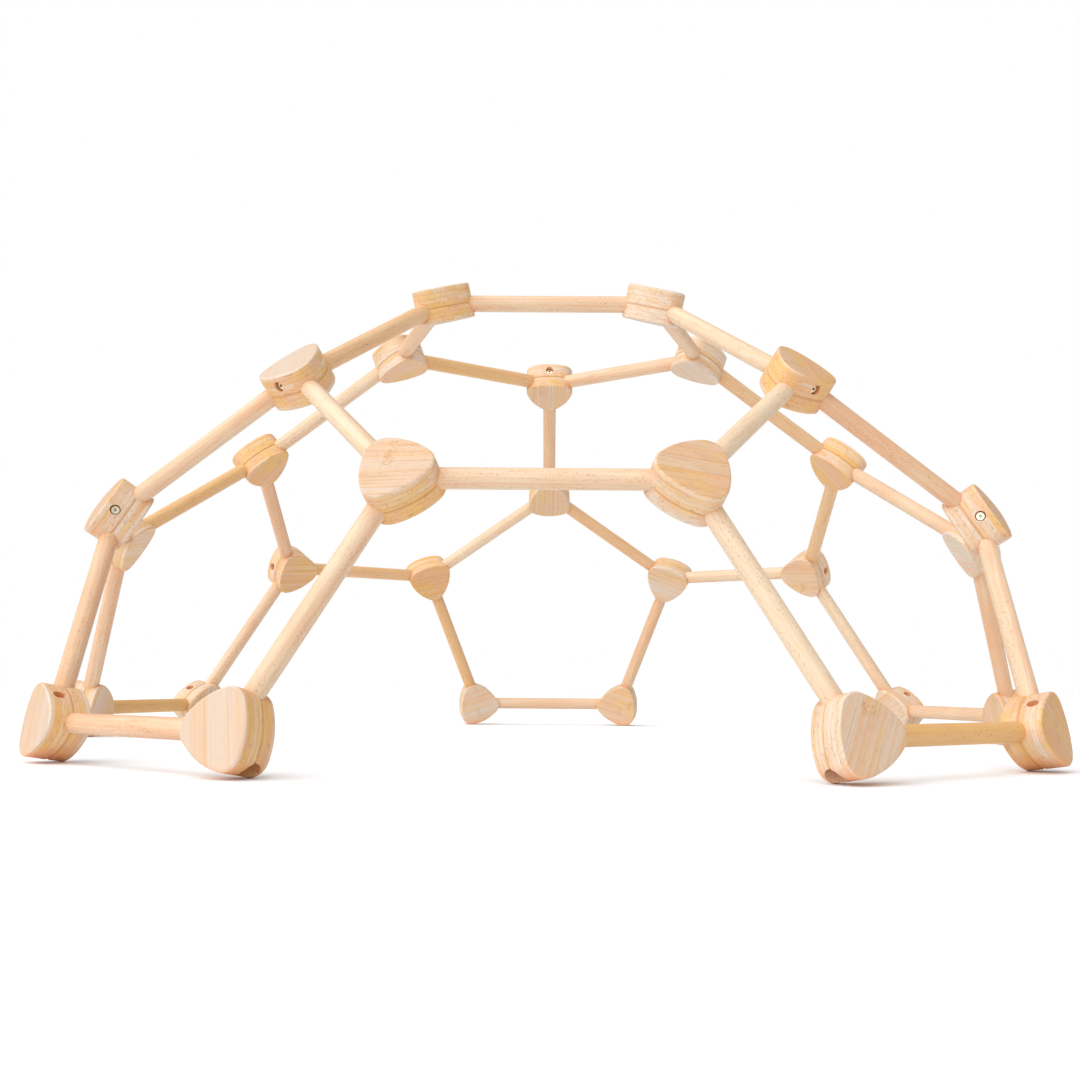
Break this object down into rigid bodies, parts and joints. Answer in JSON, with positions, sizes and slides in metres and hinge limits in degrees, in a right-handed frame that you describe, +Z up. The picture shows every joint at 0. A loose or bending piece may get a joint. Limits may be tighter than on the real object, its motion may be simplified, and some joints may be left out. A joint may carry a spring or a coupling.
{
  "type": "dome climber",
  "caption": "Free-standing half-dome climbing frame of round wooden dowels plugged into rounded triangular laminated hubs.",
  "frame": {"origin": "on the dome's vertical axis at ground level", "axes": "+Z up, +X to the right; the open doorway faces -Y; mirror-symmetric about the YZ plane"},
  "size_m": [1.6656, 1.5951, 0.7107],
  "materials": {
    "bamboo": "laminated strip bamboo, fine grain, satin clear lacquer",
    "beech": "steamed beech dowel, fine dark flecks, satin clear lacquer",
    "bolt_steel": "nickel-plated flat bolt heads",
    "insert_steel": "zinc-plated threaded inserts"
  },
  "bodies": {
    "root": {"back_base_hub_left": "bamboo", "back_base_hub_right": "bamboo", "back_base_rail": "beech", "back_crown_hub": "bamboo", "back_crown_link": "beech", "back_legs": "beech", "back_rafters": "beech", "back_shoulder_hub": "bamboo", "back_waist_hub_left": "bamboo", "back_waist_hub_right": "bamboo", "back_waist_link": "beech", "crown_link_bolts": "bolt_steel", "crown_link_inserts": "insert_steel", "crown_rails": "beech", "front_left_base_hub_left": "bamboo", "front_left_base_hub_right": "bamboo", "front_left_base_rail": "beech", "front_left_crown_hub": "bamboo", "front_left_crown_link": "beech", "front_left_legs": "beech", "front_left_rafters": "beech", "front_left_shoulder_hub": "bamboo", "front_left_waist_hub_left": "bamboo", "front_left_waist_hub_right": "bamboo", "front_left_waist_link": "beech", "front_right_base_hub_left": "bamboo", "front_right_base_hub_right": "bamboo", "front_right_base_rail": "beech", "front_right_crown_hub": "bamboo", "front_right_crown_link": "beech", "front_right_legs": "beech", "front_right_rafters": "beech", "front_right_shoulder_hub": "bamboo", "front_right_waist_hub_left": "bamboo", "front_right_waist_hub_right": "bamboo", "front_right_waist_link": "beech", "left_base_hub_left": "bamboo", "left_base_hub_right": "bamboo", "left_base_rail": "beech", "left_crown_hub": "bamboo", "left_crown_link": "beech", "left_legs": "beech", "left_rafters": "beech", "left_shoulder_hub": "bamboo", "left_waist_hub_left": "bamboo", "left_waist_hub_right": "bamboo", "left_waist_link": "beech", "right_base_hub_left": "bamboo", "right_base_hub_right": "bamboo", "right_base_rail": "beech", "right_crown_hub": "bamboo", "right_crown_link": "beech", "right_legs": "beech", "right_rafters": "beech", "right_shoulder_hub": "bamboo", "right_waist_hub_left": "bamboo", "right_waist_hub_right": "bamboo", "right_waist_link": "beech", "waist_link_bolts": "bolt_steel", "waist_link_inserts": "insert_steel"}
  },
  "joints": []
}
